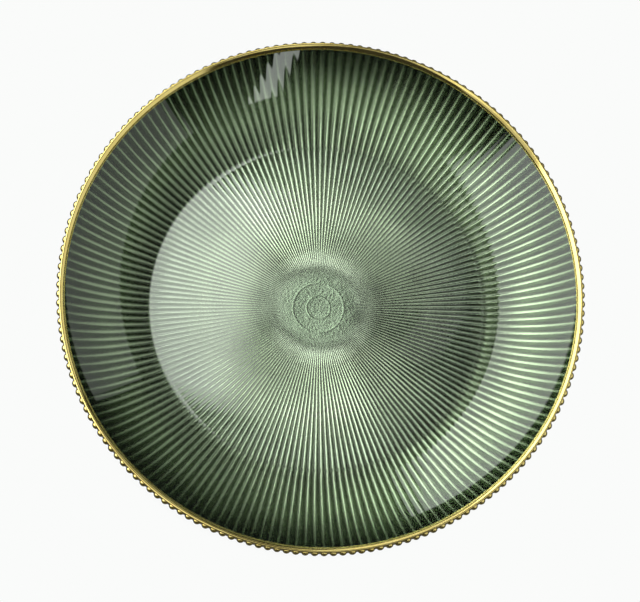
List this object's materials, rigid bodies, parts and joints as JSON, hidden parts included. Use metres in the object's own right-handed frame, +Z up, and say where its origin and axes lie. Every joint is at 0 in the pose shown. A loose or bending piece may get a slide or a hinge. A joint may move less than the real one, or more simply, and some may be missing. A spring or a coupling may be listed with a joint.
{
  "type": "dinner plate",
  "caption": "Round coupe dinner plate in clear pressed glass, smooth inside and radially reeded underneath, with a green metallic back, a gilt lip band and a gilt beaded edge.",
  "frame": {"origin": "on the table, under the centre of the plate: the centre of the bottom of the bounding box", "axes": "+Z up along the plate's axis; +X through the middle of one reed and its bead"},
  "size_m": [0.27, 0.27, 0.0311],
  "materials": {
    "clear_glass": "clear fire-polished pressed glass",
    "green_lacquer": "opaque pearl green metallic lacquer, seen mainly through the glass",
    "gilding": "bright gold coating"
  },
  "bodies": {
    "root": {"glass_dish": "clear_glass", "green_back_coat": "green_lacquer", "gilt_rim_band": "gilding", "gilt_bead_edging": "gilding"}
  },
  "joints": []
}
